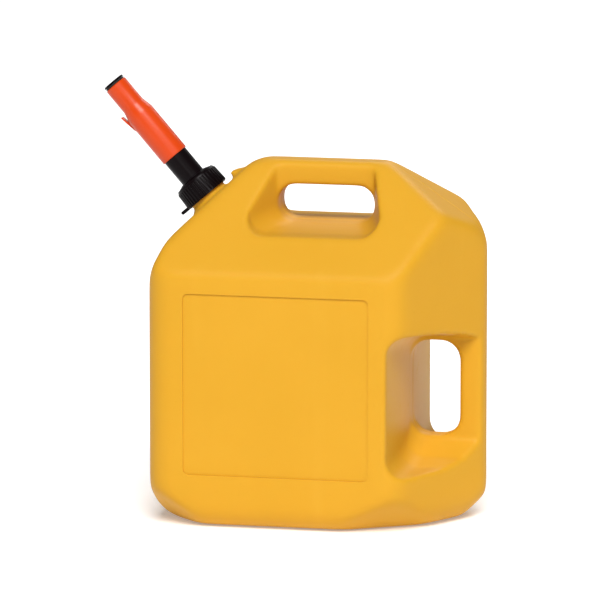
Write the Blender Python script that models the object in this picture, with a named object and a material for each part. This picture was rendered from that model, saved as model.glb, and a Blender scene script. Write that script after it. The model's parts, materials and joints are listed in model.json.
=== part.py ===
"""Plastic jerry can with a self-closing pouring spout.

Metres, +Z up. The origin is the middle of the can's base. The spout points to -X, the rear grip is at +X,
and the can is symmetric about Y = 0. The spout's pieces are modelled upright about their own axis, with
z = 0 where the axis meets the can's front slope, and are parented to an empty that leans them forward.
"""
import math

import bmesh
import bpy
from mathutils import Matrix, Vector

MM = 0.001
GAP = 0.3 * MM                      # between pieces that rest on or in each other
STEP = 0.05 * MM                    # depth in which a cutter changes its outline

# Can: overall
BODY_LENGTH = 340 * MM
BODY_WIDTH = 250 * MM
BODY_HEIGHT = 374 * MM
WALL = 3 * MM
FRONT_CORNER_R = 33 * MM
REAR_CORNER_R = 34 * MM
NOSE_R = 17 * MM
NOSE_HALF_ANGLE = math.radians(31)  # each rear facet, off the line across the can
BASE_EDGE_R = 24 * MM

# Can: roof
SIDE_CREASE_DROP = 107 * MM         # each crease, below the can's top
SIDE_ROOF_SLOPE = math.radians(43.5)
FRONT_CREASE_DROP = 95 * MM
FRONT_SLOPE = math.radians(45)
REAR_CREASE_DROP = 70 * MM
REAR_SLOPE = math.radians(34)

# Carrying handle
HANDLE_WIDTH = 35 * MM
HANDLE_THICK = 25 * MM
HANDLE_FROM_FRONT = 120 * MM        # from the can's front face to the hole
HANDLE_FROM_REAR = 117 * MM
HANDLE_HOLE_HEIGHT = 39 * MM
HANDLE_HOLE_R = 19 * MM
HANDLE_FLARE = 20 * MM              # how far the hole's front end widens on the way out
HANDLE_REAR_FLARE = 14 * MM
HANDLE_FLARE_DEPTH = 45 * MM        # over this distance
HANDLE_FLOOR_DROP = 5 * MM

# Rear grip
GRIP_THICK = 27 * MM
GRIP_GAP = 52 * MM                  # finger room in front of the grip
GRIP_HOLE_Z = (87 * MM, 187 * MM)
GRIP_MOUTH_Z = (60 * MM, 209 * MM)
GRIP_MOUTH_DRAFT = 5 * MM
GRIP_HOLE_R = 20 * MM

# Label panel on each side
PANEL_FROM_FRONT = 42 * MM
PANEL_FROM_FACET = 29.7 * MM
PANEL_LOW_Z = 57 * MM
PANEL_BELOW_CREASE = 19 * MM
PANEL_DEPTH = 1.6 * MM
PANEL_CORNER_R = 6 * MM

# Spout axis
SPOUT_RISE = math.radians(49)
SPOUT_FROM_FRONT = 46.6 * MM        # from the can's front face to the axis on the slope

# Neck
NECK_R = 20.8 * MM
NECK_WALL = 3 * MM
NECK_LENGTH = 24.5 * MM
NECK_SUNK = 12 * MM                 # how far the neck starts below the slope
BOSS_STEP = 8.2 * MM                # from the neck's wall to the boss's upper edge
BOSS_HEIGHT = 3 * MM
SCREEN_LEDGE = 1.4 * MM
SCREEN_LEDGE_DEPTH = 10.5 * MM      # below the neck's rim
THREAD_PITCH = 4 * MM
THREAD_DEPTH = 1.5 * MM
THREAD_TURNS = 2
THREAD_CLEAR = 0.4 * MM
THREAD_FROM_RIM = 2.5 * MM
THREAD_ROOT = 0.5 * MM              # how far a ridge is sunk in its wall
NECK_RIDGE_WIDTH = 2 * MM
COLLAR_RIDGE_WIDTH = 1.4 * MM

# Collar
COLLAR_WALL = 2.5 * MM
COLLAR_TAPER = 0.9 * MM
COLLAR_HEIGHT = 24.1 * MM
COLLAR_TOP = 2.5 * MM
COLLAR_DOME = 2.8 * MM
COLLAR_CHAMFER = 2 * MM
COLLAR_RIM = 1 * MM                 # below the ribs, and round the hole in the top
COLLAR_RIBS = 40
COLLAR_RIB_DEPTH = 0.6 * MM
FINGER_LENGTH = 9.2 * MM
FINGER_ROOT = 1.5 * MM
FINGER_THICK = 3.6 * MM
FINGER_WIDTH = 8 * MM
LUG_CLEAR = 1.5 * MM
LUG_WIDTH = 10 * MM
LUG_HEIGHT = 7 * MM
LUG_LENGTH = 22 * MM
LUG_SUNK = 8 * MM

# Spout tube
TUBE_R = 13.65 * MM
TUBE_WALL = 2.2 * MM
TUBE_LENGTH = 53.4 * MM
FLANGE_THICK = 2.4 * MM
GASKET_THICK = 1.5 * MM
WASHER_THICK = 0.6 * MM
SEAL_FROM_END = 5 * MM
SEAL_GROOVE_DEPTH = 1.445 * MM
SEAL_GROOVE_WIDTH = 2.04 * MM
SEAL_CLEAR = 0.08 * MM

# Sleeve
SLEEVE_OVERLAP = 17.9 * MM          # over the tube at rest
SLEEVE_WALL = 1 * MM
SLEEVE_CLEAR = 0.35 * MM
SPRING_ROOM = 38 * MM               # from the tube's end to the shoulder
SHOULDER_LENGTH = 13 * MM
SHOULDER_STEP = 2.65 * MM
NOZZLE_LENGTH = 28.4 * MM
NOZZLE_WALL = 1.7 * MM
LIP_STEP = 1.35 * MM
LIP_THICK = 2 * MM
LIP_TAPER = 1.3 * MM
HOOK_LENGTH = 22 * MM
HOOK_BEFORE_SHOULDER = 11 * MM
HOOK_REACH = 6 * MM
HOOK_WIDTH = 7 * MM

# Valve
ROD_R = 3.5 * MM
ROD_BORE_R = 2.2 * MM
ROD_START = -12 * MM
HUB_R = 5.6 * MM
HUB_LENGTH = 8 * MM
HEAD_STEP = 0.35 * MM               # how much narrower than the nozzle
HEAD_THICK = 2 * MM
HEAD_EDGE = 0.6 * MM
VALVE_SEAL_THICK = 1.6 * MM
VALVE_SEAL_INSET = 0.4 * MM
PORT_BELOW_HUB = 5 * MM
PORT_SIZE = (2 * MM, 4 * MM)
SPIDER_HEIGHT = 5 * MM
SPIDER_FROM_END = 2 * MM
ARM_THICK = 2 * MM
RING_WALL = 1.4 * MM
CLIP_THICK = 1.2 * MM
CLIP_WIDTH = 2 * MM
CLIP_CLEAR = 0.1 * MM
SEAT_THICK = 1.2 * MM
SEAT_EDGE = (1 * MM, 0.2 * MM)      # inside the tube's bore and inside its outer wall
SPRING_WIRE = 1.3 * MM
SPRING_TURNS = 5.5
GUIDE_FROM_SHOULDER = 7 * MM
SCREEN_LENGTH = 40 * MM
SCREEN_WALL = 0.8 * MM
SCREEN_RING_HEIGHT = 7 * MM
SCREEN_SLOT = (4 * MM, 9 * MM)

# Worked out from the sizes above
FRONT_X = -BODY_LENGTH / 2
REAR_X = BODY_LENGTH / 2
SIDE_CREASE_Z = BODY_HEIGHT - SIDE_CREASE_DROP
FRONT_CREASE_Z = BODY_HEIGHT - FRONT_CREASE_DROP
REAR_CREASE_Z = BODY_HEIGHT - REAR_CREASE_DROP
SPOUT_ROOT_X = FRONT_X + SPOUT_FROM_FRONT
NECK_BORE_R = NECK_R - NECK_WALL
SCREEN_LEDGE_Z = NECK_LENGTH - SCREEN_LEDGE_DEPTH
THREAD_Z = NECK_LENGTH - THREAD_FROM_RIM - THREAD_TURNS * THREAD_PITCH
GASKET_Z = NECK_LENGTH + GAP
FLANGE_Z = GASKET_Z + GASKET_THICK + GAP
FLANGE_TOP = FLANGE_Z + FLANGE_THICK
WASHER_Z = FLANGE_TOP + GAP
COLLAR_CEILING = WASHER_Z + WASHER_THICK + GAP
COLLAR_END = COLLAR_CEILING + COLLAR_TOP
COLLAR_Z = COLLAR_END - COLLAR_HEIGHT
COLLAR_BORE_R = NECK_R + THREAD_DEPTH + THREAD_CLEAR
COLLAR_R = COLLAR_BORE_R + COLLAR_WALL
FINGER_REACH = COLLAR_R + FINGER_LENGTH
TUBE_BORE_R = TUBE_R - TUBE_WALL
TUBE_END = FLANGE_Z + TUBE_LENGTH
SEAL_Z = TUBE_END - SEAL_FROM_END
SPIDER_TOP = TUBE_END - SPIDER_FROM_END
SEAT_Z = TUBE_END + GAP
SLEEVE_BORE_R = TUBE_R + SLEEVE_CLEAR
SLEEVE_R = SLEEVE_BORE_R + SLEEVE_WALL
SLEEVE_START = TUBE_END - SLEEVE_OVERLAP
SHOULDER_START = TUBE_END + SPRING_ROOM
SHOULDER_INSIDE = SHOULDER_START - 1 * MM
SHOULDER_END = SHOULDER_START + SHOULDER_LENGTH
SLEEVE_END = SHOULDER_END + NOZZLE_LENGTH
NOZZLE_R = SLEEVE_R - SHOULDER_STEP
NOZZLE_BORE_R = NOZZLE_R - NOZZLE_WALL
LIP_R = NOZZLE_BORE_R - LIP_STEP
GUIDE_Z = SHOULDER_END + GUIDE_FROM_SHOULDER
VALVE_SEAL_Z = SLEEVE_END + GAP
HEAD_Z = VALVE_SEAL_Z + VALVE_SEAL_THICK + GAP
HEAD_R = NOZZLE_R - HEAD_STEP

YELLOW = ((0.86, 0.42, 0.04), 0.42, 0.0)
ORANGE = ((0.85, 0.09, 0.01), 0.35, 0.0)
BLACK = ((0.012, 0.011, 0.012), 0.4, 0.0)
RUBBER = ((0.02, 0.02, 0.02), 0.8, 0.0)
STEEL = ((0.62, 0.62, 0.6), 0.3, 1.0)
NATURAL = ((0.75, 0.74, 0.7), 0.5, 0.0)


# ---------------------------------------------------------------- helpers

def material(name, look):
    colour, roughness, metallic = look
    mat = bpy.data.materials.new(name)
    mat.use_nodes = True
    shader = mat.node_tree.nodes["Principled BSDF"]
    shader.inputs["Base Color"].default_value = (*colour, 1)
    shader.inputs["Roughness"].default_value = roughness
    shader.inputs["Metallic"].default_value = metallic
    return mat


def add_object(name, bm, look=None, parent=None):
    """An object from a bmesh. With no look it is a cutter, drawn as wire and left out of the model."""
    bmesh.ops.recalc_face_normals(bm, faces=bm.faces)
    mesh = bpy.data.meshes.new(name)
    bm.to_mesh(mesh)
    bm.free()
    obj = bpy.data.objects.new(name, mesh)
    bpy.context.collection.objects.link(obj)
    obj.parent = parent
    if look:
        mesh.materials.append(material(name, look))
        mesh.shade_smooth()
        mesh.set_sharp_from_angle(angle=math.radians(30))
    else:
        obj.hide_render = True
        obj.display_type = "WIRE"
    return obj


def boolean(target, operation, tool):
    mod = target.modifiers.new(tool.name, "BOOLEAN")
    mod.operation = operation
    mod.solver = "EXACT"
    mod.object = tool


def rounded(corners, radii, steps):
    """A closed outline with each corner of a polygon rounded by an arc of its own radius."""
    points = []
    count = len(corners)
    for i, corner in enumerate(corners):
        here = Vector(corner)
        before = (Vector(corners[i - 1]) - here).normalized()
        after = (Vector(corners[(i + 1) % count]) - here).normalized()
        half = before.angle(after) / 2
        reach = radii[i] / math.tan(half)
        centre = here + (before + after).normalized() * (radii[i] / math.sin(half))
        start = here + before * reach - centre
        turn = start.angle_signed(here + after * reach - centre)
        for k in range(steps + 1):
            spoke = start.copy()
            spoke.rotate(Matrix.Rotation(-turn * k / steps, 2))
            points.append(centre + spoke)
    return points


def loft(rings):
    """A closed solid through rings of equally many 3-D points, capped at both ends."""
    bm = bmesh.new()
    loops = []
    for ring in rings:
        loops.append([bm.verts.new(p) for p in ring])
    count = len(loops[0])
    for low, high in zip(loops, loops[1:]):
        for i in range(count):
            bm.faces.new((low[i], low[(i + 1) % count], high[(i + 1) % count], high[i]))
    bm.faces.new(loops[0])
    bm.faces.new(loops[-1])
    return bm


def turned(profile, steps):
    """A closed (radius, height) profile turned about Z. Points on the axis close the solid."""
    bm = bmesh.new()
    verts = [bm.verts.new((r, 0, z)) for r, z in profile]
    edges = []
    for i, vert in enumerate(verts):
        other = verts[(i + 1) % len(verts)]
        if vert.co.x > 0 or other.co.x > 0:
            edges.append(bm.edges.new((vert, other)))
    bmesh.ops.spin(bm, geom=verts + edges, cent=(0, 0, 0), axis=(0, 0, 1), dvec=(0, 0, 0),
                   angle=math.tau, steps=steps, use_merge=True, use_duplicate=False)
    bmesh.ops.remove_doubles(bm, verts=bm.verts, dist=1e-6)
    return bm


def ring(inner, outer, low, high, steps=32):
    return turned([(inner, low), (outer, low), (outer, high), (inner, high)], steps)


def bar(size, centre):
    bm = bmesh.new()
    place = Matrix.Translation(centre) @ Matrix.Diagonal((*size, 1))
    bmesh.ops.create_cube(bm, size=1, matrix=place)
    return bm


def helix_ridge(root_r, crest_r, start_z, width, steps=24):
    """A thread ridge: a trapezoid swept along a helix, its ends run out to nothing at the root."""
    rings = []
    count = int(THREAD_TURNS * steps)
    for i in range(count + 1):
        angle = math.tau * i / steps
        fade = min(1, i / 4, (count - i) / 4)
        crest = root_r + (crest_r - root_r) * max(fade, 0.1)
        z = start_z + THREAD_PITCH * i / steps
        section = [(root_r, -width / 2), (crest, -width / 5), (crest, width / 5), (root_r, width / 2)]
        rings.append([(r * math.cos(angle), r * math.sin(angle), z + h) for r, h in section])
    return loft(rings)


# ---------------------------------------------------------------- can

def facet_x(inset):
    """Where the two rear facets would meet, and where each meets its side, moved inwards by inset."""
    nose_tip = REAR_X + NOSE_R * (1 / math.cos(NOSE_HALF_ANGLE) - 1)
    nose = nose_tip - inset / math.cos(NOSE_HALF_ANGLE)
    return nose, nose - (BODY_WIDTH / 2 - inset) * math.tan(NOSE_HALF_ANGLE)


def plan(inset):
    """The can's outline from above, moved inwards by inset."""
    front = FRONT_X + inset
    side = BODY_WIDTH / 2 - inset
    nose, shoulder = facet_x(inset)
    least = 2 * MM
    front_r = max(FRONT_CORNER_R - inset, least)
    rear_r = max(REAR_CORNER_R - inset, least)
    corners = [(front, -side), (shoulder, -side), (nose, 0), (shoulder, side), (front, side)]
    return rounded(corners, [front_r, rear_r, max(NOSE_R - inset, least), rear_r, front_r], 4)


def cut_above(bm, point, normal):
    """Remove what lies beyond a plane and close the cut."""
    geometry = bm.verts[:] + bm.edges[:] + bm.faces[:]
    cut = bmesh.ops.bisect_plane(bm, geom=geometry, plane_co=point, plane_no=normal, clear_outer=True)
    edges = [e for e in cut["geom_cut"] if isinstance(e, bmesh.types.BMEdge)]
    bmesh.ops.contextual_create(bm, geom=edges)


def block(inset):
    """The can without its holes, every face moved inwards by inset."""
    rings = []
    base_steps = 3
    for k in range(base_steps + 1):
        angle = math.pi / 2 * k / base_steps
        edge_r = BASE_EDGE_R - inset
        shrink = inset + edge_r * (1 - math.sin(angle))
        z = inset + edge_r * (1 - math.cos(angle))
        rings.append([(p.x, p.y, z) for p in plan(shrink)])
    rings.append([(p.x, p.y, BODY_HEIGHT * 1.2) for p in plan(inset)])
    bm = loft(rings)
    front_normal = Vector((-math.sin(FRONT_SLOPE), 0, math.cos(FRONT_SLOPE)))
    rear_normal = Vector((math.sin(REAR_SLOPE), 0, math.cos(REAR_SLOPE)))
    roofs = [(Vector((0, 0, BODY_HEIGHT)), Vector((0, 0, 1)))]
    roofs.append((Vector((FRONT_X, 0, FRONT_CREASE_Z)), front_normal))
    roofs.append((Vector((REAR_X, 0, REAR_CREASE_Z)), rear_normal))
    for side in (-1, 1):
        normal = Vector((0, side * math.sin(SIDE_ROOF_SLOPE), math.cos(SIDE_ROOF_SLOPE)))
        roofs.append((Vector((0, side * BODY_WIDTH / 2, SIDE_CREASE_Z)), normal))
    for point, normal in roofs:
        cut_above(bm, point - normal * inset, normal)
    return bm


def slot_ring(x_low, x_high, z_low, z_high, radius, y):
    corners = [(x_low, z_low), (x_high, z_low), (x_high, z_high), (x_low, z_high)]
    return [(p.x, y, p.y) for p in rounded(corners, [radius] * 4, 4)]


def handle_cutter(inset):
    """The hand hole under the carrying handle, and the flared bay that bares the handle on each side."""
    x_low = FRONT_X + HANDLE_FROM_FRONT - inset
    x_high = REAR_X - HANDLE_FROM_REAR + inset
    ceiling = BODY_HEIGHT - HANDLE_THICK + inset
    floor = ceiling - HANDLE_HOLE_HEIGHT - 2 * inset
    top = BODY_HEIGHT * 1.3
    radius = HANDLE_HOLE_R + inset
    half = HANDLE_WIDTH / 2 - inset
    rings = []
    for reach, share in ((BODY_WIDTH, 1.1), (half + HANDLE_FLARE_DEPTH, 1), (half, 0)):
        drop = HANDLE_FLOOR_DROP * share
        front = x_low - HANDLE_FLARE * share
        rear = x_high + HANDLE_REAR_FLARE * share
        rings.append((front, rear, floor - drop, top, reach))
    rings.append((x_low, x_high, floor, ceiling, half - STEP))
    return mirrored_loft(rings, radius)


def grip_x():
    """Front and back of the finger gap in front of the rear grip."""
    back = REAR_X - GRIP_THICK
    return back - GRIP_GAP, back


def grip_cutter(inset):
    """The bay on each side of the rear grip. The two meet in the middle as the finger gap."""
    x_front, x_back = grip_x()
    half = GRIP_THICK / 2 - inset
    radius = GRIP_HOLE_R + inset
    low, high = GRIP_HOLE_Z
    mouth_low, mouth_high = GRIP_MOUTH_Z
    beyond = BODY_LENGTH
    rings = [
        (x_front - GRIP_MOUTH_DRAFT - inset, beyond, mouth_low - inset, mouth_high + inset, BODY_WIDTH / 2),
        (x_front - inset, beyond, low - inset, high + inset, half),
        (x_front - inset, x_back + inset, low - inset, high + inset, half - STEP),
    ]
    return mirrored_loft(rings, radius)


def mirrored_loft(sections, radius):
    """A loft through rounded slots from the left side of the can to the middle, and on to the right side."""
    rings = [slot_ring(*section[:4], radius, -section[4]) for section in sections]
    rings += [slot_ring(*section[:4], radius, section[4]) for section in reversed(sections)]
    return loft(rings)


def panel_cutter(side, inset):
    """The shallow recess of one label panel. Its core keeps the wall behind it as thick as elsewhere."""
    x_range = (FRONT_X + PANEL_FROM_FRONT - inset, facet_x(0)[1] - PANEL_FROM_FACET + inset)
    z_range = (PANEL_LOW_Z - inset, SIDE_CREASE_Z - PANEL_BELOW_CREASE + inset)
    floor = BODY_WIDTH / 2 - PANEL_DEPTH - inset
    return loft([slot_ring(*x_range, *z_range, PANEL_CORNER_R + inset, side * y)
                 for y in (floor, floor + 2 * PANEL_DEPTH)])


def spout_frame():
    """The matrix of the spout's axis: +Z along the spout, +X up the can's front slope."""
    root_z = FRONT_CREASE_Z + SPOUT_FROM_FRONT * math.tan(FRONT_SLOPE)
    lean = Matrix.Rotation(SPOUT_RISE - math.pi / 2, 4, "Y")
    return Matrix.Translation((SPOUT_ROOT_X, 0, root_z)) @ lean


def can_body(axis):
    body = add_object("can_body", block(0), YELLOW)
    boolean(body, "DIFFERENCE", add_object("handle_cut", handle_cutter(0)))
    boolean(body, "DIFFERENCE", add_object("grip_cut", grip_cutter(0)))
    for side in (-1, 1):
        boolean(body, "DIFFERENCE", add_object(f"panel_{side + 1}", panel_cutter(side, 0)))

    boss_foot = NECK_R + BOSS_STEP + BOSS_HEIGHT
    fillet = 1 * MM
    neck = turned([(0, -NECK_SUNK), (boss_foot, -NECK_SUNK), (boss_foot, -BOSS_HEIGHT / 2),
                   (NECK_R + fillet, BOSS_HEIGHT), (NECK_R, BOSS_HEIGHT + fillet),
                   (NECK_R, NECK_LENGTH), (0, NECK_LENGTH)], 40)
    boolean(body, "UNION", add_object("neck_outer", neck, parent=axis))
    boolean(body, "UNION", add_object("stop_lug", lug(), parent=axis))

    cavity = add_object("cavity", block(WALL))
    boolean(cavity, "DIFFERENCE", add_object("handle_core", handle_cutter(WALL)))
    boolean(cavity, "DIFFERENCE", add_object("grip_core", grip_cutter(WALL)))
    for side in (-1, 1):
        boolean(cavity, "DIFFERENCE", add_object(f"panel_core_{side + 1}", panel_cutter(side, WALL)))
    boolean(body, "DIFFERENCE", cavity)
    bore_low = -NECK_SUNK - 8 * MM
    bore_high = NECK_LENGTH + 5 * MM
    bore = turned([(0, bore_low), (NECK_BORE_R - SCREEN_LEDGE, bore_low),
                   (NECK_BORE_R - SCREEN_LEDGE, SCREEN_LEDGE_Z), (NECK_BORE_R, SCREEN_LEDGE_Z),
                   (NECK_BORE_R, bore_high), (0, bore_high)], 32)
    boolean(body, "DIFFERENCE", add_object("neck_bore", bore, parent=axis))
    ridge = helix_ridge(NECK_R - THREAD_ROOT, NECK_R + THREAD_DEPTH, THREAD_Z, NECK_RIDGE_WIDTH)
    boolean(body, "UNION", add_object("neck_ridge", ridge, parent=axis))


def lug():
    """The stop lug up the slope from the neck: a fin whose tip stands just clear of the finger's path."""
    tip = FINGER_REACH + LUG_CLEAR
    round_off = 1 * MM
    top = COLLAR_Z + FINGER_THICK * 0.3
    outline = [(tip + 6 * round_off, -LUG_SUNK), (tip + round_off, top - LUG_HEIGHT),
               (tip, top - 2 * round_off),
               (tip + round_off, top), (tip + LUG_HEIGHT, top - 3 * round_off), (tip + LUG_LENGTH, -LUG_SUNK)]
    rings = []
    for y in (-LUG_WIDTH / 2, LUG_WIDTH / 2):
        rings.append([(x, y, z) for x, z in outline])
    return loft(rings)


# ---------------------------------------------------------------- neck fittings

def flame_screen(axis):
    outer = NECK_BORE_R - SCREEN_LEDGE - 2 * GAP
    inner = outer - SCREEN_WALL
    rim_r = NECK_BORE_R - GAP
    rim_low = SCREEN_LEDGE_Z + GAP
    rim_high = rim_low + SCREEN_WALL
    bottom = rim_low - SCREEN_LENGTH
    profile = [(0, bottom), (outer, bottom), (outer, rim_low), (rim_r, rim_low), (rim_r, rim_high),
               (inner, rim_high), (inner, bottom + SCREEN_WALL), (0, bottom + SCREEN_WALL)]
    screen = add_object("flame_screen", turned(profile, 24), STEEL, axis)
    holes_per_row = 8
    slots = []
    for k in range(holes_per_row // 2):
        angle = math.tau * (k + 0.5) / holes_per_row
        for row in (0.25, 0.6):
            size = (outer * 2.4, *SCREEN_SLOT)
            z = bottom + SCREEN_LENGTH * row
            slot = bar(size, (0, 0, z))
            bmesh.ops.rotate(slot, verts=slot.verts, cent=(0, 0, 0), matrix=Matrix.Rotation(angle, 3, "Z"))
            slots.append(slot)
    for i, slot in enumerate(slots):
        boolean(screen, "DIFFERENCE", add_object(f"screen_slot_{i}", slot, parent=axis))


def screen_ring(axis):
    low = SCREEN_LEDGE_Z + SCREEN_WALL + 2 * GAP
    outer = NECK_BORE_R - GAP
    add_object("screen_ring", ring(outer - RING_WALL, outer, low, low + SCREEN_RING_HEIGHT), NATURAL, axis)


def neck_gasket(axis):
    add_object("neck_gasket", ring(NECK_BORE_R, NECK_R, GASKET_Z, GASKET_Z + GASKET_THICK), RUBBER, axis)


def slip_washer(axis):
    washer = ring(TUBE_R + 2 * GAP, NECK_R - 2 * MM, WASHER_Z, WASHER_Z + WASHER_THICK)
    add_object("slip_washer", washer, NATURAL, axis)


def screw_collar(axis):
    """Ribbed collar. Its inner thread sits half a pitch from the neck's, so the two never touch."""
    edge = COLLAR_END - COLLAR_DOME
    top_r = COLLAR_R - COLLAR_TAPER
    hole = TUBE_R + 2 * GAP
    profile = [(COLLAR_BORE_R, COLLAR_Z), (COLLAR_R - COLLAR_RIB_DEPTH, COLLAR_Z),
               (top_r - COLLAR_RIB_DEPTH, edge - COLLAR_CHAMFER), (top_r - COLLAR_CHAMFER, edge),
               (hole + COLLAR_RIM, COLLAR_END), (hole, COLLAR_END), (hole, COLLAR_CEILING),
               (COLLAR_BORE_R, COLLAR_CEILING)]
    collar = add_object("screw_collar", turned(profile, COLLAR_RIBS), BLACK, axis)
    ridge = helix_ridge(COLLAR_BORE_R + THREAD_ROOT, COLLAR_BORE_R - THREAD_DEPTH,
                        THREAD_Z - THREAD_PITCH / 2, COLLAR_RIDGE_WIDTH)
    boolean(collar, "UNION", add_object("collar_ridge", ridge, parent=axis))
    ribs = rib_band(COLLAR_R, top_r, COLLAR_Z + COLLAR_RIM, edge - COLLAR_CHAMFER)
    boolean(collar, "UNION", add_object("collar_ribs", ribs, parent=axis))
    boolean(collar, "UNION", add_object("lock_finger", lock_finger(), parent=axis))


def rib_band(low_r, high_r, low_z, high_z):
    """A band whose outline goes in and out once for each rib."""
    inner = COLLAR_BORE_R + COLLAR_WALL / 3
    bm = bmesh.new()
    loops = []
    for r, z in ((low_r, low_z), (high_r, high_z)):
        loop = []
        for i in range(COLLAR_RIBS * 2):
            angle = math.pi * i / COLLAR_RIBS
            reach = r - (i % 2) * COLLAR_RIB_DEPTH * 1.2
            loop.append(bm.verts.new((reach * math.cos(angle), reach * math.sin(angle), z)))
        loops.append(loop)
    for z in (high_z, low_z):
        loop = []
        for i in range(COLLAR_RIBS * 2):
            angle = math.pi * i / COLLAR_RIBS
            loop.append(bm.verts.new((inner * math.cos(angle), inner * math.sin(angle), z)))
        loops.append(loop)
    count = COLLAR_RIBS * 2
    for a, b in zip(loops, loops[1:] + loops[:1]):
        for i in range(count):
            bm.faces.new((a[i], a[(i + 1) % count], b[(i + 1) % count], b[i]))
    return bm


def lock_finger():
    """A radial tab on the lower side of the collar, with a round end."""
    root = COLLAR_R - FINGER_ROOT
    end = FINGER_REACH - FINGER_THICK / 2
    outline = [(-root, COLLAR_Z), (-root, COLLAR_Z + FINGER_THICK)]
    for k in range(5):
        angle = math.pi / 2 + math.pi * k / 4
        outline.append((-end + FINGER_THICK / 2 * math.cos(angle),
                        COLLAR_Z + FINGER_THICK / 2 * (1 + math.sin(angle))))
    rings = []
    for y in (-FINGER_WIDTH / 2, FINGER_WIDTH / 2):
        rings.append([(x, y, z) for x, z in outline])
    return loft(rings)


# ---------------------------------------------------------------- spout

def spout_tube(axis):
    groove = TUBE_R - SEAL_GROOVE_DEPTH
    groove_low = SEAL_Z - SEAL_GROOVE_WIDTH / 2
    groove_high = SEAL_Z + SEAL_GROOVE_WIDTH / 2
    profile = [(TUBE_BORE_R, FLANGE_Z), (NECK_R, FLANGE_Z), (NECK_R, FLANGE_TOP), (TUBE_R, FLANGE_TOP),
               (TUBE_R, groove_low), (groove, groove_low), (groove, groove_high), (TUBE_R, groove_high),
               (TUBE_R, TUBE_END), (TUBE_BORE_R, TUBE_END)]
    add_object("spout_tube", turned(profile, 36), BLACK, axis)


def torus(major, minor, z, steps, around):
    profile = []
    for k in range(around):
        angle = math.tau * k / around
        profile.append((major + minor * math.cos(angle), z + minor * math.sin(angle)))
    return turned(profile, steps)


def tube_seal(axis):
    """An O-ring that nearly fills the space between the groove's floor and the sleeve's bore."""
    floor = TUBE_R - SEAL_GROOVE_DEPTH
    minor = (SLEEVE_BORE_R - floor) / 2 - SEAL_CLEAR
    add_object("tube_seal", torus((SLEEVE_BORE_R + floor) / 2, minor, SEAL_Z, 32, 8), RUBBER, axis)


def carrier(outer, low, high):
    """A ring and a hub joined by three arms, with a bore for the rod."""
    hub_bore = ROD_R + GAP
    hub = hub_bore + RING_WALL
    rim = ring(outer - RING_WALL, outer, low, high, 24)
    core = ring(hub_bore, hub, low, high, 24)
    arms = []
    for k in range(3):
        size = (outer - hub, ARM_THICK, (high - low) * 0.8)
        arm = bar(size, ((hub + outer - RING_WALL) / 2, 0, (low + high) / 2))
        turn = Matrix.Rotation(math.tau * k / 3, 3, "Z")
        bmesh.ops.rotate(arm, verts=arm.verts, cent=(0, 0, 0), matrix=turn)
        arms.append(arm)
    return rim, [core] + arms


def rod_spider(axis):
    rim, rest = carrier(TUBE_BORE_R - GAP, SPIDER_TOP - SPIDER_HEIGHT, SPIDER_TOP)
    spider = add_object("rod_spider", rim, NATURAL, axis)
    for i, piece in enumerate(rest):
        boolean(spider, "UNION", add_object(f"spider_{i}", piece, parent=axis))


def nozzle_guide(axis):
    rim, rest = carrier(NOZZLE_BORE_R - GAP, GUIDE_Z, GUIDE_Z + SPIDER_HEIGHT)
    guide = add_object("nozzle_guide", rim, NATURAL, axis)
    for i, piece in enumerate(rest):
        boolean(guide, "UNION", add_object(f"guide_{i}", piece, parent=axis))


def vent_rod(axis):
    collar_low = SPIDER_TOP + GAP
    collar_high = collar_low + CLIP_THICK
    top = HEAD_Z - GAP
    shoulder_r = ROD_R + RING_WALL
    profile = [(ROD_BORE_R, ROD_START), (ROD_R, ROD_START), (ROD_R, collar_low), (shoulder_r, collar_low),
               (shoulder_r, collar_high), (ROD_R, collar_high), (ROD_R, top), (ROD_BORE_R, top)]
    rod = add_object("vent_rod", turned(profile, 20), STEEL, axis)
    port = bar((4 * ROD_R, *PORT_SIZE), (0, 0, HEAD_Z - HUB_LENGTH - PORT_BELOW_HUB))
    boolean(rod, "DIFFERENCE", add_object("vent_port", port, parent=axis))


def rod_clip(axis):
    high = SPIDER_TOP - SPIDER_HEIGHT - GAP
    clip = ring(ROD_R + CLIP_CLEAR, ROD_R + CLIP_WIDTH, high - CLIP_THICK, high, 24)
    add_object("rod_clip", clip, STEEL, axis)


def valve_head(axis):
    high = HEAD_Z + HEAD_THICK
    bottom = HEAD_Z - HUB_LENGTH
    profile = [(ROD_R + GAP, bottom), (HUB_R, bottom), (HUB_R, HEAD_Z), (HEAD_R, HEAD_Z),
               (HEAD_R, high - HEAD_EDGE), (HEAD_R - HEAD_EDGE, high), (0, high), (0, HEAD_Z),
               (ROD_R + GAP, HEAD_Z)]
    add_object("valve_head", turned(profile, 36), BLACK, axis)


def valve_seal(axis):
    seal = ring(HUB_R + GAP, HEAD_R - VALVE_SEAL_INSET, VALVE_SEAL_Z, VALVE_SEAL_Z + VALVE_SEAL_THICK)
    add_object("valve_seal", seal, RUBBER, axis)


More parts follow.
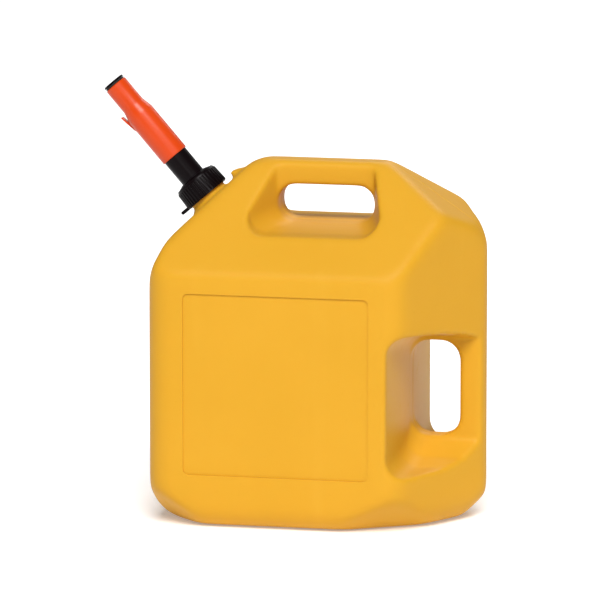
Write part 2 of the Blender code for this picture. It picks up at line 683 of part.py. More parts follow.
def slide_sleeve(axis):
    profile = [(SLEEVE_BORE_R, SLEEVE_START), (SLEEVE_R, SLEEVE_START), (SLEEVE_R, SHOULDER_START),
               (NOZZLE_R, SHOULDER_END), (NOZZLE_R, SLEEVE_END), (LIP_R, SLEEVE_END),
               (LIP_R, SLEEVE_END - LIP_THICK), (NOZZLE_BORE_R, SLEEVE_END - LIP_THICK - LIP_TAPER),
               (NOZZLE_BORE_R, SHOULDER_INSIDE), (SLEEVE_BORE_R, SHOULDER_INSIDE)]
    sleeve = add_object("slide_sleeve", turned(profile, 36), ORANGE, axis)
    in_wall = SLEEVE_BORE_R + SLEEVE_WALL / 2
    reach = NOZZLE_R + HOOK_REACH
    start = SHOULDER_START - HOOK_BEFORE_SHOULDER
    end = start + HOOK_LENGTH
    outline = [(-in_wall, start), (-SLEEVE_R - 0.5 * MM, start + 3 * MM),
               (-reach + 1 * MM, end - 5 * MM), (-reach, end), (-reach + 1.6 * MM, end),
               (-SLEEVE_R - 0.4 * MM, end - 7 * MM), (-NOZZLE_R - 1.5 * MM, end - 8 * MM),
               (-in_wall, SHOULDER_START - 2 * MM)]
    rings = []
    for y in (-HOOK_WIDTH / 2, HOOK_WIDTH / 2):
        rings.append([(x, y, z) for x, z in outline])
    boolean(sleeve, "UNION", add_object("hook", loft(rings), parent=axis))


def spring_seat(axis):
    seat = ring(TUBE_BORE_R - SEAT_EDGE[0], TUBE_R - SEAT_EDGE[1], SEAT_Z, SEAT_Z + SEAT_THICK)
    add_object("spring_seat", seat, STEEL, axis)


def return_spring(axis):
    """A coil of round wire between the seat and the sleeve's shoulder."""
    coil_r = (SLEEVE_BORE_R + NOZZLE_BORE_R) / 2
    low = SEAT_Z + SEAT_THICK + GAP + SPRING_WIRE / 2
    high = SHOULDER_INSIDE - GAP - SPRING_WIRE / 2
    per_turn = 20
    around = 6
    count = int(SPRING_TURNS * per_turn)
    closed = per_turn * 3 // 4
    rings = []
    for i in range(count + 1):
        angle = math.tau * i / per_turn
        share = min(max((i - closed) / (count - 2 * closed), 0), 1)
        end_rise = SPRING_WIRE * 0.8
        rise = end_rise * (min(i, closed) + max(i - count + closed, 0)) / closed
        z = low + rise + (high - low - 2 * end_rise) * share
        out = Vector((math.cos(angle), math.sin(angle), 0))
        section = []
        for k in range(around):
            turn = math.tau * k / around
            section.append(out * (coil_r + SPRING_WIRE / 2 * math.cos(turn))
                           + Vector((0, 0, z + SPRING_WIRE / 2 * math.sin(turn))))
        rings.append(section)
    add_object("return_spring", loft(rings), STEEL, axis)


# ---------------------------------------------------------------- assembly

for old in list(bpy.data.objects):
    bpy.data.objects.remove(old)

spout_axis = bpy.data.objects.new("spout_axis", None)
spout_axis.matrix_world = spout_frame()
bpy.context.collection.objects.link(spout_axis)

can_body(spout_axis)
for make in (flame_screen, screen_ring, neck_gasket, slip_washer, screw_collar, spout_tube, tube_seal,
             rod_spider, vent_rod, rod_clip, spring_seat, return_spring, slide_sleeve, nozzle_guide,
             valve_head, valve_seal):
    make(spout_axis)
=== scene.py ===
import json
import math

import bmesh
import bpy
from mathutils import Matrix, Vector


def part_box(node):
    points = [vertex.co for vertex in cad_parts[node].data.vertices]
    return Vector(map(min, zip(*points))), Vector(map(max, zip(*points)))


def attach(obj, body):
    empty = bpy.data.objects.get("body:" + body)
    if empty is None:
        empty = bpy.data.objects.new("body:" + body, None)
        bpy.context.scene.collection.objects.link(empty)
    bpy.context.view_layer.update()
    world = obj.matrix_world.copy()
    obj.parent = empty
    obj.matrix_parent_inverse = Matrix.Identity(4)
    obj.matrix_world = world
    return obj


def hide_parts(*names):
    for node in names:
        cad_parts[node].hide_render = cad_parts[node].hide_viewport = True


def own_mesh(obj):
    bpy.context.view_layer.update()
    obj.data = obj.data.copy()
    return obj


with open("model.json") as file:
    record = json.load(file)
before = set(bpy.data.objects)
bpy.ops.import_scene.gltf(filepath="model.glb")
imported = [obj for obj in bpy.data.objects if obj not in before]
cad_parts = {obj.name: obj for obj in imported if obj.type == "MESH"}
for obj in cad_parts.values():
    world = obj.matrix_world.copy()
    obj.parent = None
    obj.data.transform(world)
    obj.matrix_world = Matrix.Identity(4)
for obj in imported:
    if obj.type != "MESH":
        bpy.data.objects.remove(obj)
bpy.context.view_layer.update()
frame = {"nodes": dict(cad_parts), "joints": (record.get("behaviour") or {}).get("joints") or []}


# ---- Studio: a pale floor that runs out of view, a wide overhead bank before the can, a small box low in
# front, a larger one behind, and a faint white room. The camera stands well back with a long lens.

def aim(obj, place, target):
    """Stand a camera or lamp at a place with its -Z towards a target."""
    obj.location = place
    obj.rotation_euler = (Vector(target) - Vector(place)).to_track_quat("-Z", "Y").to_euler()
    bpy.context.scene.collection.objects.link(obj)


def round_the_can(azimuth, elevation, distance, centre):
    """A place seen from a centre: azimuth 0 is straight out along -Y, and 90 along +X."""
    a, e = math.radians(azimuth), math.radians(elevation)
    level = math.cos(e)
    return Vector(centre) + distance * Vector((math.sin(a) * level, -math.cos(a) * level, math.sin(e)))


camera_target = (-0.030, 0, 0.2233)
camera_distance = 7.0
camera_data = bpy.data.cameras.new("camera")
camera_data.lens = 400
camera_data.clip_end = 50
camera = bpy.data.objects.new("camera", camera_data)
aim(camera, round_the_can(12, 10, camera_distance, camera_target), camera_target)
bpy.context.scene.camera = camera

can_middle = (0, 0, 0.2)
bank_data = bpy.data.lights.new("overhead_bank", "SUN")
bank_data.energy = 3.5
bank_data.angle = math.radians(30)
aim(bpy.data.objects.new("overhead_bank", bank_data), round_the_can(14, 48, 3, can_middle), can_middle)
for name, azimuth, elevation, distance, size, watts in (
        ("front_box", 8, 15, 2.6, 0.9, 6),
        ("back_box", 175, 40, 3.0, 1.6, 30)):
    lamp_data = bpy.data.lights.new(name, "AREA")
    lamp_data.size = size
    lamp_data.energy = watts
    lamp_place = round_the_can(azimuth, elevation, distance, can_middle)
    aim(bpy.data.objects.new(name, lamp_data), lamp_place, can_middle)

room = bpy.data.worlds.new("room")
bpy.context.scene.world = room
room.use_nodes = True
room_light = room.node_tree.nodes["Background"]
room_light.inputs["Color"].default_value = (1, 1, 1, 1)
room_light.inputs["Strength"].default_value = 0.14
bpy.context.scene.view_settings.view_transform = "Standard"

floor_bm = bmesh.new()
bmesh.ops.create_grid(floor_bm, x_segments=1, y_segments=1, size=30)
floor_mesh = bpy.data.meshes.new("floor")
floor_bm.to_mesh(floor_mesh)
floor_bm.free()
floor = bpy.data.objects.new("floor", floor_mesh)
bpy.context.scene.collection.objects.link(floor)
floor_paint = bpy.data.materials.new("floor_paint")
floor_paint.use_nodes = True
floor_shader = floor_paint.node_tree.nodes["Principled BSDF"]
floor_shader.inputs["Base Color"].default_value = (0.9, 0.9, 0.9, 1)
floor_shader.inputs["Roughness"].default_value = 0.8
floor_shader.inputs["Emission Color"].default_value = (1, 1, 1, 1)
floor_shader.inputs["Emission Strength"].default_value = 0.24
floor_mesh.materials.append(floor_paint)


# ---- Can: high-density polyethylene, blow-moulded in two mould halves that meet on a line over the
# middle. Carrying handle, rear grip, neck boss and stop lug are all part of the one hollow skin.

MM = 0.001


class Wire:
    """One value or colour on its way through a material. Arithmetic on values adds Math nodes."""

    def __init__(self, tree, socket):
        self.tree = tree
        self.socket = socket

    def maths(self, operation, other):
        node = self.tree.nodes.new("ShaderNodeMath")
        node.operation = operation
        put(self.tree, node.inputs[0], self)
        put(self.tree, node.inputs[1], other)
        return Wire(self.tree, node.outputs[0])

    def __add__(self, other):
        return self.maths("ADD", other)

    def __mul__(self, other):
        return self.maths("MULTIPLY", other)

    __radd__ = __add__
    __rmul__ = __mul__


def put(tree, socket, value):
    """Link a wire to a socket, or set the socket to a number, a vector or a colour."""
    if isinstance(value, Wire):
        tree.links.new(value.socket, socket)
    elif isinstance(value, (tuple, list)) and len(value) == 3 and socket.type == "RGBA":
        socket.default_value = (*value, 1)
    else:
        socket.default_value = value


class Finish:
    """A material under construction: its Principled shader, and one method that adds any other node."""

    def __init__(self, name, **constants):
        self.material = bpy.data.materials.new(name)
        self.material.use_nodes = True
        self.tree = self.material.node_tree
        self.shader = self.tree.nodes["Principled BSDF"]
        self.set(**constants)
        self.place = self.add("ShaderNodeTexCoord", output="Object")

    def add(self, kind, settings=None, output=0, **sockets):
        """One node: its settings, then its sockets by name, or by number as i0, i6 and so on."""
        node = self.tree.nodes.new(kind)
        for key, value in (settings or {}).items():
            setattr(node, key, value)
        for key, value in sockets.items():
            numbered = key[0] == "i" and key[1:].isdigit()
            put(self.tree, node.inputs[int(key[1:]) if numbered else key.replace("_", " ")], value)
        return Wire(self.tree, node.outputs[output])

    def noise(self, scale, detail=2, stretch=(1, 1, 1), roughness=0.5):
        place = self.add("ShaderNodeMapping", Vector=self.place, Scale=stretch)
        return self.add("ShaderNodeTexNoise", Vector=place, Scale=scale, Detail=detail, Roughness=roughness)

    def mix(self, share, low, high):
        return self.add("ShaderNodeMix", {"data_type": "RGBA"}, output=2, i0=share, i6=low, i7=high)

    def ramp(self, value, low, high):
        return self.add("ShaderNodeMapRange", {"interpolation_type": "SMOOTHSTEP"},
                        Value=value, From_Min=low, From_Max=high)

    def set(self, **sockets):
        for key, value in sockets.items():
            put(self.tree, self.shader.inputs[key.replace("_", " ")], value)

    def bump(self, height, distance, strength=1.0):
        self.set(Normal=self.add("ShaderNodeBump", Height=height, Distance=distance, Strength=strength))


def polyethylene():
    """Satin yellow skin: a spark-eroded grain, slow waves from the blowing, and faint handling scuffs."""
    skin = Finish("yellow_polyethylene", IOR=1.5, Specular_IOR_Level=0.12, Subsurface_Weight=0.1,
                  Subsurface_Scale=0.004, Subsurface_Radius=(1.0, 0.45, 0.1))
    patches = skin.noise(9, 3)
    speckle = skin.noise(260, 2)
    streaks = skin.noise(30, 4, stretch=(1, 1, 0.12))
    base = skin.mix(patches, (0.58, 0.293, 0.016), (0.64, 0.325, 0.022))
    shade_share = skin.ramp(streaks, 0.55, 0.8) * 0.25
    streaked = skin.mix(shade_share, base, (0.66, 0.350, 0.030))
    speck_share = skin.ramp(speckle, 0.62, 0.8) * 0.12
    skin.set(Base_Color=skin.mix(speck_share, streaked, (0.49, 0.235, 0.010)))
    scuffs = skin.ramp(skin.noise(70, 5, stretch=(0.3, 1, 1), roughness=0.7), 0.58, 0.7)
    skin.set(Roughness=0.40 + patches * 0.1 + scuffs * 0.08 + speckle * 0.05)
    grain = skin.noise(900, 2) * 0.25
    waves = skin.noise(14, 1) * 6 + skin.noise(3.4, 1) * 20
    skin.bump(grain + waves, 0.00012, 0.6)
    return skin.material


def shade(mesh, sharp_past):
    """Smooth shading, with edges left sharp past an angle in degrees."""
    mesh.shade_smooth()
    mesh.set_sharp_from_angle(angle=math.radians(sharp_past))


def as_object(name, bm, sharp_past=35):
    """A mesh object with its normals outward."""
    bmesh.ops.recalc_face_normals(bm, faces=bm.faces)
    mesh = bpy.data.meshes.new(name)
    bm.to_mesh(mesh)
    bm.free()
    shade(mesh, sharp_past)
    obj = bpy.data.objects.new(name, mesh)
    bpy.context.scene.collection.objects.link(obj)
    return obj


def applied(obj):
    """The object with its modifiers made permanent."""
    depsgraph = bpy.context.evaluated_depsgraph_get()
    mesh = bpy.data.meshes.new_from_object(obj.evaluated_get(depsgraph), depsgraph=depsgraph)
    obj.modifiers.clear()
    obj.data = mesh
    return obj


def settle(obj, voxel, rounds):
    """Fuse everything in the object to one even skin, and let its edges flow round as blown plastic does."""
    remesh = obj.modifiers.new("skin", "REMESH")
    remesh.mode = "VOXEL"
    remesh.voxel_size = voxel
    remesh.use_smooth_shade = True
    flow = obj.modifiers.new("flow", "SMOOTH")
    flow.factor = 0.5
    flow.iterations = rounds
    return applied(obj)


def carve(obj, bm, operation="DIFFERENCE"):
    """Cut a shape out of the object, or with UNION weld it on."""
    tool = as_object("tool", bm)
    cut = obj.modifiers.new("carve", "BOOLEAN")
    cut.operation = operation
    cut.solver = "EXACT"
    cut.object = tool
    applied(obj)
    bpy.data.objects.remove(tool)


def only(kind, geometry):
    """The vertices, edges or faces among what an operator gives back."""
    return [item for item in geometry if isinstance(item, kind)]


def slice_off(bm, point, normal):
    """Cut off what lies beyond a plane, and close the cut."""
    cut = bmesh.ops.bisect_plane(bm, geom=bm.verts[:] + bm.edges[:] + bm.faces[:], plane_co=point,
                                 plane_no=normal, clear_outer=True)
    bmesh.ops.contextual_create(bm, geom=only(bmesh.types.BMEdge, cut["geom_cut"]))


def soften(bm, chosen, offset, segments):
    """Round the chosen edges."""
    bmesh.ops.bevel(bm, geom=[e for e in bm.edges if chosen(e)], offset=offset, segments=segments,
                    profile=0.5, affect="EDGES", material=-1, clamp_overlap=True)


def slot(sections, radius):
    """A bar with rounded corners across the can. Each section is its Y, then its low and high X and Z."""
    bm = bmesh.new()
    y, x_low, x_high, z_low, z_high = sections[0]
    middle = Vector(((x_low + x_high) / 2, y, (z_low + z_high) / 2))
    size = Matrix.Diagonal((x_high - x_low, z_high - z_low, 1, 1))
    bmesh.ops.create_grid(bm, x_segments=1, y_segments=1, size=0.5,
                          matrix=Matrix.Translation(middle) @ Matrix.Rotation(math.pi / 2, 4, "X") @ size)
    bmesh.ops.bevel(bm, geom=bm.verts[:], offset=radius, segments=8, profile=0.5, affect="VERTICES",
                    material=-1)
    end = bm.faces[:]
    for number, (far_y, far_x_low, far_x_high, far_z_low, far_z_high) in enumerate(sections[1:]):
        made = bmesh.ops.extrude_face_region(bm, geom=end, use_keep_orig=True)
        if number:
            bmesh.ops.delete(bm, geom=end, context="FACES_ONLY")
        end = only(bmesh.types.BMFace, made["geom"])
        for vert in {v for f in end for v in f.verts}:
            vert.co.x += far_x_low - x_low if vert.co.x < middle.x else far_x_high - x_high
            vert.co.z += far_z_low - z_low if vert.co.z < middle.z else far_z_high - z_high
            vert.co.y = far_y
        x_low, x_high, z_low, z_high = far_x_low, far_x_high, far_z_low, far_z_high
        middle = Vector(((x_low + x_high) / 2, far_y, (z_low + z_high) / 2))
    return bm


def both_sides(sections):
    """Sections from the can's near side to its middle, and then the same ones on to its far side."""
    return [(-y, *rest) for y, *rest in sections] + [(y, *rest) for y, *rest in reversed(sections)]


def tilted(heading, lean):
    """A direction that points along a heading in plan and leans from straight up, in degrees."""
    plan, fall = math.radians(heading), math.radians(lean)
    return Vector((math.cos(plan) * math.sin(fall), math.sin(plan) * math.sin(fall), math.cos(fall)))


def finish_piece(obj, body, slot_name, finish, *nodes):
    """Give a new piece its material and its body, and hide the CAD nodes it stands for; the finish slot is
    not used.
    """
    obj.data.materials.clear()
    obj.data.materials.append(finish)
    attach(obj, body)
    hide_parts(*nodes)


low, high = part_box("can_body")
half_length = high.x
half_width = high.y
can_height = high.z
blank_length, blank_height = 0.6, 0.4

# The plan: a straight front, two long sides, and a blunt nose at the rear with its tip rounded.
nose_slant = 31
nose_tip = half_length + 3.2 * MM
nose_reach = nose_tip * math.cos(math.radians(nose_slant))
walls = ((90, half_width), (-90, half_width), (180, half_length), (nose_slant, nose_reach),
         (-nose_slant, nose_reach))
block = bmesh.new()
blank = Matrix.Diagonal((blank_length, 2 * half_width, blank_height, 1))
bmesh.ops.create_cube(block, size=1, matrix=Matrix.Translation((0, 0, blank_height / 2)) @ blank)
slice_off(block, (-half_length, 0, 0), (-1, 0, 0))
for slant in (-nose_slant, nose_slant):
    slice_off(block, (nose_tip, 0, 0), tilted(slant, 90))
for x_from, x_to, radius, segments in ((-1, 0, 30, 8), (0.05, 0.15, 15, 6), (0.16, 1, 6, 4)):
    soften(block, lambda e: (abs((e.verts[0].co - e.verts[1].co).normalized().z) > 0.9
                             and x_from < e.verts[0].co.x < x_to), radius * MM, segments)

# The roof: a point that each slope passes through, the slope's heading, and how far it leans from level.
# After the five main slopes come the narrow ones that break their creases.
front_crease, rear_crease, side_crease = 281 * MM, 305 * MM, 268.5 * MM
roof_slopes = (
    ((0, 0, can_height + 1.5 * MM), 0, 0),
    ((-half_length, 0, front_crease), 180, 45),
    ((half_length, 0, rear_crease), 0, 34),
    ((0, -half_width, side_crease), -90, 43.5),
    ((0, half_width, side_crease), 90, 43.5),
    ((0.074, 0, can_height - 1.5 * MM), 0, 17),
    ((half_length - 8 * MM, 0, rear_crease + 3.5 * MM), 0, 62),
    ((-0.075, 0, can_height - 2.5 * MM), 180, 22),
    ((-half_length + 11 * MM, 0, front_crease + 5 * MM), 180, 67.5),
)
for point, heading, lean in roof_slopes:
    slice_off(block, Vector(point), tilted(heading, lean))

# The base: every wall turns under in four flats on a round, and the corners are cut back.
base_r = 27 * MM
for heading, reach in walls:
    centre = tilted(heading, 90) * (reach - base_r) + Vector((0, 0, base_r))
    for lean in (108, 126, 144, 162):
        slice_off(block, centre + tilted(heading, lean) * base_r, tilted(heading, lean))
for side in (-1, 1):
    slice_off(block, (-0.158, side * 0.113, 0.034), Vector((-1, side, -1.5)).normalized())
    slice_off(block, (0.093, side * 0.121, 0.036), Vector((0.5, side * 0.85, -1.1)).normalized())
slice_off(block, (half_length - 14 * MM, 0, 12 * MM), Vector((1, 0, -1)).normalized())
can = as_object("can_skin", block)
settle(can, 4 * MM, 24)

# The hand hole with its flared bays, and the finger gap behind with its deeper bays.
hand_hole = (
    (0.130, -0.074, 0.069, 0.304, 0.480),
    (0.062, -0.071, 0.067, 0.305, 0.480),
    (0.0175, -0.050, 0.053, 0.310, 0.480),
    (0.0173, -0.050, 0.053, 0.310, 0.349),
)
finger_gap = (
    (0.130, 0.086, 0.300, 0.0585, 0.2090),
    (0.060, 0.0895, 0.300, 0.0615, 0.2035),
    (0.034, 0.0905, 0.300, 0.0685, 0.1990),
    (0.0135, 0.091, 0.300, 0.0840, 0.1930),
    (0.0133, 0.091, 0.143, 0.0870, 0.1880),
)
carve(can, slot(both_sides(hand_hole), 18.5 * MM))
carve(can, slot(both_sides(finger_gap), 20 * MM))

# The neck boss and the stop lug grow out of the front slope.
collar_turn = next(j for j in frame["joints"] if j["name"] == "collar_turn")
spout_axis = Vector(collar_turn["axis"])
spout_lean = Vector((0, 0, 1)).rotation_difference(spout_axis).to_matrix().to_4x4()
SPOUT = Matrix.Translation(collar_turn["pos_m"]) @ spout_lean


def turned(profile, steps=96):
    """A closed outline of radius and height, turned about the spout's axis."""
    bm = bmesh.new()
    verts = [bm.verts.new((r, 0, z)) for r, z in profile]
    edges = [bm.edges.new((a, b)) for a, b in zip(verts, verts[1:] + verts[:1]) if a.co.x or b.co.x]
    bmesh.ops.spin(bm, geom=verts + edges, axis=(0, 0, 1), cent=(0, 0, 0), angle=math.tau, steps=steps,
                   use_merge=True, use_duplicate=False)
    bmesh.ops.remove_doubles(bm, verts=bm.verts, dist=1e-6)
    bmesh.ops.transform(bm, matrix=SPOUT, verts=bm.verts)
    return bm


def plate(outline, width):
    """A flat outline beside the spout's axis, of radius and height in mm, given a width."""
    bm = bmesh.new()
    face = bm.faces.new([bm.verts.new((r * MM, -width / 2, z * MM)) for r, z in outline])
    far = bmesh.ops.extrude_face_region(bm, geom=[face], use_keep_orig=True)
    bmesh.ops.translate(bm, vec=(0, width, 0), verts=only(bmesh.types.BMVert, far["geom"]))
    bmesh.ops.recalc_face_normals(bm, faces=bm.faces)
    return bm


neck_r = 20.8 * MM
boss = turned([
    (0, -12 * MM), (34 * MM, -12 * MM), (34 * MM, -2.5 * MM), (27 * MM, 1 * MM),
    (neck_r + 1.5 * MM, 3.5 * MM), (neck_r, 5 * MM), (neck_r, 9 * MM), (0, 9 * MM)], 48)
carve(can, boss, "UNION")
lug = plate([(41, -8), (36.5, 2), (34.5, 6), (34.5, 11), (36, 11.5), (46, 8), (62, -8)], 14 * MM)
bmesh.ops.transform(lug, matrix=SPOUT, verts=lug.verts)
carve(can, lug, "UNION")
settle(can, 2.3 * MM, 13)

# A shallow panel in each side, left plain, and the bore of the neck.
panel = (-0.128, 0.068, 0.057, 0.248)
panel_depth, past_the_side = 1.6 * MM, 130 * MM
for side in (-1, 1):
    carve(can, slot([(side * y, *panel) for y in (half_width - panel_depth, past_the_side)], 6 * MM))
bore_r = 17 * MM
carve(can, turned([(0, -40 * MM), (bore_r, -40 * MM), (bore_r, 20 * MM), (0, 20 * MM)], 48))

# The weld line where the mould halves met stands a little proud all round, except under the base.
weld_half, weld_proud = 0.7 * MM, 0.3 * MM
skin = bmesh.new()
skin.from_mesh(can.data)
for y in (-weld_half, 0, weld_half):
    bmesh.ops.bisect_plane(skin, geom=skin.verts[:] + skin.edges[:] + skin.faces[:], plane_co=(0, y, 0),
                           plane_no=(0, 1, 0), dist=1e-6)
skin.normal_update()
for vert in skin.verts:
    if abs(vert.co.y) < 0.01 * MM and vert.co.z > 5 * MM:
        vert.co += Vector((vert.normal.x, 0, vert.normal.z)) * weld_proud
for vert in skin.verts:
    vert.co.x = min(max(vert.co.x, -half_length), half_length)
    vert.co.z = min(max(vert.co.z, 0), can_height)
skin.to_mesh(can.data)
skin.free()
shade(can.data, 40)
can_finish = polyethylene()
finish_piece(can, "can", "can_yellow", can_finish, "can_body")


# ---- Neck: the can's threaded mouth, blown and trimmed in one with it. Two turns of a rounded
# right-hand thread, a faced rim for the gasket, and a bore that holds the flame screen.

def thread(root_r, crest_r, start, turns, root_width, crest_width, pitch=4 * MM, steps=72):
    """A ridge of trapezoid section that climbs round the spout's axis, run out to nothing at both ends."""
    ridge = bmesh.new()
    section = ((root_r, -root_width / 2), (crest_r, -crest_width / 2), (crest_r, crest_width / 2),
               (root_r, root_width / 2))
    face = ridge.faces.new([ridge.verts.new((r, 0, start + h)) for r, h in section])
    bmesh.ops.spin(ridge, geom=[face], axis=(0, 0, 1), cent=(0, 0, 0), angle=math.tau * turns,
                   steps=int(steps * turns), dvec=(0, 0, pitch / steps), use_duplicate=False)
    half_rise = pitch * turns / 2
    for vert in ridge.verts:
        radius = math.hypot(vert.co.x, vert.co.y)
        from_middle = abs(vert.co.z - start - half_rise) / half_rise
        fade = min(1, max(0.05, (1.06 - from_middle) * 6))
        if abs(radius - crest_r) < 0.1 * MM:
            lean = (root_r + (crest_r - root_r) * fade) / radius
            vert.co.x *= lean
            vert.co.y *= lean
    bmesh.ops.holes_fill(ridge, edges=ridge.edges[:])
    bmesh.ops.transform(ridge, matrix=SPOUT, verts=ridge.verts)
    return ridge


neck_bore, neck_top, rim_round = 17.8 * MM, 24.5 * MM, 0.6 * MM
neck = as_object("neck", turned([
    (neck_bore, -6 * MM), (neck_r, -6 * MM), (neck_r, neck_top - rim_round), (neck_r - rim_round, neck_top),
    (neck_bore + 0.4 * MM, neck_top), (neck_bore, neck_top - 0.4 * MM)]))
carve(neck, thread(20.2 * MM, 22.3 * MM, 14 * MM, 2, 2.2 * MM, 0.8 * MM), "UNION")
shade(neck.data, 35)
finish_piece(neck, "can", "can_yellow", can_finish, "can_body")


# ---- Collar: black polypropylene, moulded with forty ribs, an inner thread, and a springy finger at
# its lower edge that has to be bent past the can's stop lug before the collar unscrews.

def black_plastic(name, grain_scale=500):
    """Moulded black polypropylene with a soft shine, faint flow marks and a little dust."""
    shell = Finish(name, IOR=1.45, Specular_IOR_Level=0.1)
    cloud = shell.noise(40, 3)
    dust = shell.ramp(shell.noise(420, 3), 0.60, 0.82)
    shell.set(Base_Color=shell.mix(dust * 0.25, (0.004, 0.002, 0.0025), (0.014, 0.010, 0.010)))
    shell.set(Roughness=0.22 + cloud * 0.14 + dust * 0.12)
    shell.bump(shell.noise(grain_scale, 2) * 0.5 + cloud, 0.00008, 0.5)
    return shell.material


collar_low, collar_height = 8.6 * MM, 24.1 * MM
collar_top = collar_low + collar_height
collar_bore, collar_ceiling = 22.7 * MM, 30.2 * MM
collar_hole = 14.25 * MM
rib_low, rib_high = collar_low + 1 * MM, collar_top - 5.2 * MM
collar = as_object("collar", turned([
    (collar_bore, collar_low), (24.3 * MM, collar_low), (24.8 * MM, collar_low + 0.5 * MM),
    (24.7 * MM, rib_low), (23.9 * MM, rib_high), (23.9 * MM, rib_high + 0.4 * MM),
    (23.3 * MM, collar_top - 3.4 * MM), (22.2 * MM, collar_top - 2.7 * MM),
    (15.6 * MM, collar_top - 0.3 * MM), (14.9 * MM, collar_top), (collar_hole, collar_top),
    (collar_hole, collar_ceiling), (collar_bore, collar_ceiling)], 120))
carve(collar, thread(23.1 * MM, 21.2 * MM, 12 * MM, 2, 1.4 * MM, 0.6 * MM), "UNION")

rib_count = 40
rib_place = Matrix.Translation((24.35 * MM, 0, (rib_low + rib_high) / 2))
rib_lean = Matrix.Rotation(math.radians(-3), 4, "Y")
rib_size = Matrix.Diagonal((1.6 * MM, 1.9 * MM, rib_high - rib_low, 1))
ribs = bmesh.new()
for i in range(rib_count):
    turn_to = Matrix.Rotation(math.tau * (i + 0.5) / rib_count, 4, "Z")
    made = bmesh.ops.create_cube(ribs, size=1, matrix=turn_to @ rib_place @ rib_lean @ rib_size)
    rib_edges = list(dict.fromkeys(e for v in made["verts"] for e in v.link_edges))
    bmesh.ops.bevel(ribs, geom=rib_edges, offset=0.4 * MM, segments=2, profile=0.5, affect="EDGES",
                    material=-1)
bmesh.ops.transform(ribs, matrix=SPOUT, verts=ribs.verts)
carve(collar, ribs, "UNION")

finger_reach, finger_long, finger_wide, finger_thick = 34.4 * MM, 11 * MM, 8 * MM, 3.6 * MM
finger_middle = collar_low + 1.95 * MM
finger_place = Matrix.Translation((-finger_reach + finger_long / 2, 0, finger_middle))
finger = bmesh.new()
bmesh.ops.create_cube(finger, size=1,
                      matrix=finger_place @ Matrix.Diagonal((finger_long, finger_wide, finger_thick, 1)))
soften(finger, lambda e: (max(v.co.x for v in e.verts) < -33 * MM
                          and abs(e.verts[0].co.y - e.verts[1].co.y) > 5 * MM), 1.6 * MM, 5)
soften(finger, lambda e: e.is_manifold and e.calc_face_angle(0) > 1, 0.35 * MM, 2)
bmesh.ops.transform(finger, matrix=SPOUT, verts=finger.verts)
carve(collar, finger, "UNION")
shade(collar.data, 32)
finish_piece(collar, "collar", "spout_black", black_plastic("collar_black"), "screw_collar")


# ---- Spout tube: black polypropylene, moulded, with the flange that the collar clamps on the gasket,
# and a groove near its end for the O-ring that seals the sliding sleeve.

flange_r, flange_low, flange_high = 20.8 * MM, 26.6 * MM, 29.0 * MM
tube_r, tube_bore, tube_end = 13.65 * MM, 11.45 * MM, 80 * MM
groove_r, groove_z, groove_half = 12.2 * MM, tube_end - 5 * MM, 1.02 * MM
tube = as_object("tube", turned([
    (tube_bore, flange_low), (flange_r - 0.2 * MM, flange_low), (flange_r, flange_low + 0.2 * MM),
    (flange_r, flange_high - 0.2 * MM), (flange_r - 0.2 * MM, flange_high), (tube_r + 0.5 * MM, flange_high),
    (tube_r, flange_high + 0.5 * MM), (tube_r, groove_z - groove_half), (groove_r, groove_z - groove_half),
    (groove_r, groove_z + groove_half), (tube_r, groove_z + groove_half), (tube_r, tube_end - 0.5 * MM),
    (tube_r - 0.5 * MM, tube_end), (tube_bore, tube_end)]))
finish_piece(tube, "spout", "spout_black", black_plastic("tube_black", 300), "spout_tube")


# ---- Sleeve: orange polypropylene, moulded in one with its narrow nozzle and the hook that catches on
# the rim of a tank's filler. The sleeve slides on the tube, and the nozzle's lip closes on the valve.

def orange_plastic():
    """Moulded orange polypropylene, glossier than the can, with flow marks and worn patches."""
    shell = Finish("orange_polypropylene", IOR=1.5, Specular_IOR_Level=0.3, Subsurface_Weight=0.08,
                   Subsurface_Scale=0.002, Subsurface_Radius=(1.0, 0.25, 0.05))
    flow = shell.noise(24, 3, stretch=(1, 1, 0.5))
    worn = shell.ramp(shell.noise(160, 4, roughness=0.65), 0.58, 0.75)
    shell.set(Base_Color=shell.mix(flow, (0.56, 0.046, 0.002), (0.64, 0.058, 0.003)))
    shell.set(Roughness=0.26 + flow * 0.12 + worn * 0.15)
    shell.bump(shell.noise(700, 2) * 0.4 + flow * 2, 0.00008, 0.5)
    return shell.material


sleeve_low, shoulder_low, shoulder_high, sleeve_high = 62.1 * MM, 118 * MM, 131 * MM, 159.4 * MM
sleeve_r, sleeve_bore, sleeve_step = 15.0 * MM, 14.0 * MM, 117 * MM
nozzle_r, nozzle_bore, lip_bore = 12.35 * MM, 10.65 * MM, 9.3 * MM
sleeve = as_object("sleeve", turned([
    (sleeve_bore, sleeve_low + 0.3 * MM), (sleeve_bore + 0.3 * MM, sleeve_low),
    (sleeve_r - 0.4 * MM, sleeve_low), (sleeve_r, sleeve_low + 0.4 * MM), (sleeve_r, shoulder_low),
    (sleeve_r - 0.3 * MM, shoulder_low + 2 * MM), (nozzle_r + 0.3 * MM, shoulder_high - 2 * MM),
    (nozzle_r, shoulder_high), (nozzle_r, sleeve_high - 0.7 * MM), (nozzle_r - 0.7 * MM, sleeve_high),
    (lip_bore, sleeve_high), (lip_bore, sleeve_high - 2 * MM),
    (nozzle_bore, sleeve_high - 3.3 * MM), (nozzle_bore, sleeve_step), (sleeve_bore, sleeve_step)]))
hook = plate([
    (-14.4, 106), (-15.6, 110), (-17.4, 121), (-18.3, 128.2), (-18.0, 129), (-17.2, 129), (-16.6, 127),
    (-15.7, 122.5), (-14.6, 120.8), (-13.6, 120.2), (-13.4, 116)], 7.2 * MM)
soften(hook, lambda e: e.is_manifold and e.calc_face_angle(0) > 1, 0.4 * MM, 2)
bmesh.ops.transform(hook, matrix=SPOUT, verts=hook.verts)
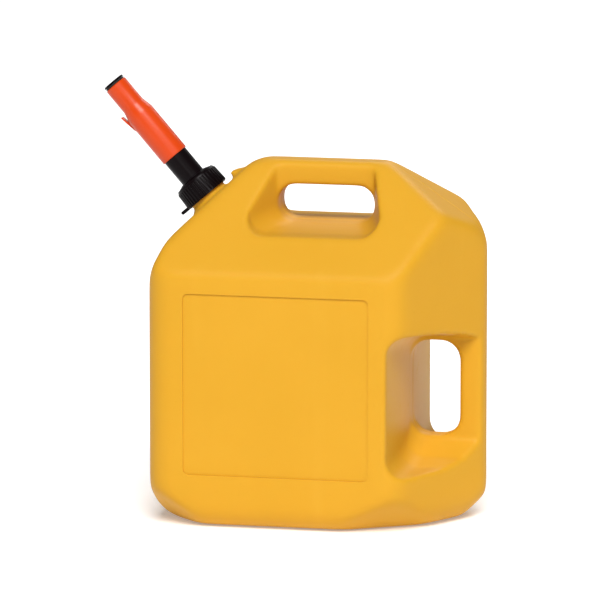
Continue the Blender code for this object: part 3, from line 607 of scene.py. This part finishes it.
carve(sleeve, hook, "UNION")
shade(sleeve.data, 32)
finish_piece(sleeve, "sleeve", "sleeve_orange", orange_plastic(), "slide_sleeve")


# ---- Valve head: a black moulded disc pressed on the end of the vent rod, with a short socket below it
# and a shallow dish on top. It stays still while the nozzle's lip draws back from it.

seal_low = sleeve_high + 0.3 * MM
head_low = seal_low + 1.9 * MM
head_high = head_low + 2 * MM
head_r, socket_r, rod_hole = 12 * MM, 5.6 * MM, 3.8 * MM
socket_low = head_low - 8 * MM
dish_floor = head_high - 0.6 * MM
head = as_object("head", turned([
    (rod_hole, socket_low), (socket_r - 0.4 * MM, socket_low), (socket_r, socket_low + 0.4 * MM),
    (socket_r, head_low), (head_r - 0.3 * MM, head_low), (head_r, head_low + 0.3 * MM),
    (head_r, head_high - 0.7 * MM), (head_r - 0.7 * MM, head_high), (8 * MM, head_high),
    (7.4 * MM, dish_floor), (0, dish_floor), (0, head_low), (rod_hole, head_low)]))
finish_piece(head, "spout", "spout_black", black_plastic("head_black", 300), "valve_head")


# ---- Rubber rings: moulded nitrile. One lies under the valve head for the nozzle's lip to close on, one
# seals the flange on the neck's rim, and the O-ring sits in the tube's groove.

def rubber():
    """Matt black rubber with a faint bloom."""
    skin = Finish("nitrile_rubber", IOR=1.45)
    bloom = skin.noise(120, 4, roughness=0.6)
    skin.set(Base_Color=skin.mix(bloom, (0.010, 0.010, 0.010), (0.030, 0.029, 0.028)))
    skin.set(Roughness=0.6 + bloom * 0.25)
    skin.bump(skin.noise(800, 2), 0.00006, 0.5)
    return skin.material


def refinish(finish, *nodes):
    """Give CAD nodes whose shape is right a better material."""
    for node in nodes:
        frame["nodes"][node].data.materials.clear()
        frame["nodes"][node].data.materials.append(finish)


rubber_finish = rubber()
ring_bore, ring_r, ring_top = 5.9 * MM, 11.6 * MM, seal_low + 1.6 * MM
valve_ring = as_object("valve_ring", turned([
    (ring_bore, seal_low + 0.3 * MM), (ring_bore + 0.3 * MM, seal_low), (ring_r - 0.6 * MM, seal_low),
    (ring_r, seal_low + 0.5 * MM), (ring_r, ring_top - 0.5 * MM), (ring_r - 0.6 * MM, ring_top),
    (ring_bore, ring_top)]))
finish_piece(valve_ring, "spout", "seal_rubber", rubber_finish, "valve_seal")
refinish(rubber_finish, "neck_gasket", "tube_seal")


# ---- Metal inside the spout: a drawn stainless rod, and a pressed clip, spring seat and flame screen. The
# coiled spring stands on its seat; its turns would close up as the sleeve comes back, but here it keeps the
# CAD spring's shape in a mesh of its own.

def stainless(name, roughness, stretch):
    """Stainless steel with the lines of its drawing or pressing, and slow patches of stain."""
    metal = Finish(name, Metallic=1.0)
    drawn = metal.noise(300, 4, stretch=stretch)
    stain = metal.noise(35, 3)
    metal.set(Base_Color=metal.mix(stain, (0.50, 0.49, 0.47), (0.66, 0.65, 0.63)))
    metal.set(Roughness=roughness + drawn * 0.2)
    metal.bump(drawn, 0.00005, 0.4)
    return metal.material


drawn_steel = stainless("drawn_stainless", 0.18, (1, 1, 0.15))
pressed_steel = stainless("pressed_stainless", 0.3, (1, 1, 1))
refinish(drawn_steel, "vent_rod")
refinish(pressed_steel, "rod_clip", "spring_seat", "flame_screen")

coils = bmesh.new()
coils.from_mesh(frame["nodes"]["return_spring"].data)
bmesh.ops.remove_doubles(coils, verts=coils.verts, dist=1e-6)
spring = as_object("coil_spring", coils, 60)
finish_piece(spring, "spout", "spring_steel", drawn_steel, "return_spring")
seat_top, spring_long, sleeve_travel = 81.8 * MM, 34.9 * MM, 24 * MM
SPOUT @ Vector((0, 0, seat_top))
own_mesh(spring)


# ---- Natural acetal inside the spout: the rod's spider, the nozzle guide, the slip washer and the ring
# that holds the screen, all moulded and pushed into place.

def acetal():
    """Milky natural acetal with a faint cloud."""
    shell = Finish("natural_acetal", IOR=1.48, Subsurface_Weight=0.1, Subsurface_Scale=0.002)
    cloud = shell.noise(60, 3)
    shell.set(Base_Color=shell.mix(cloud, (0.66, 0.65, 0.60), (0.78, 0.77, 0.73)))
    shell.set(Roughness=0.35 + cloud * 0.2)
    shell.bump(shell.noise(500, 2), 0.00005, 0.4)
    return shell.material


refinish(acetal(), "rod_spider", "nozzle_guide", "slip_washer", "screen_ring")
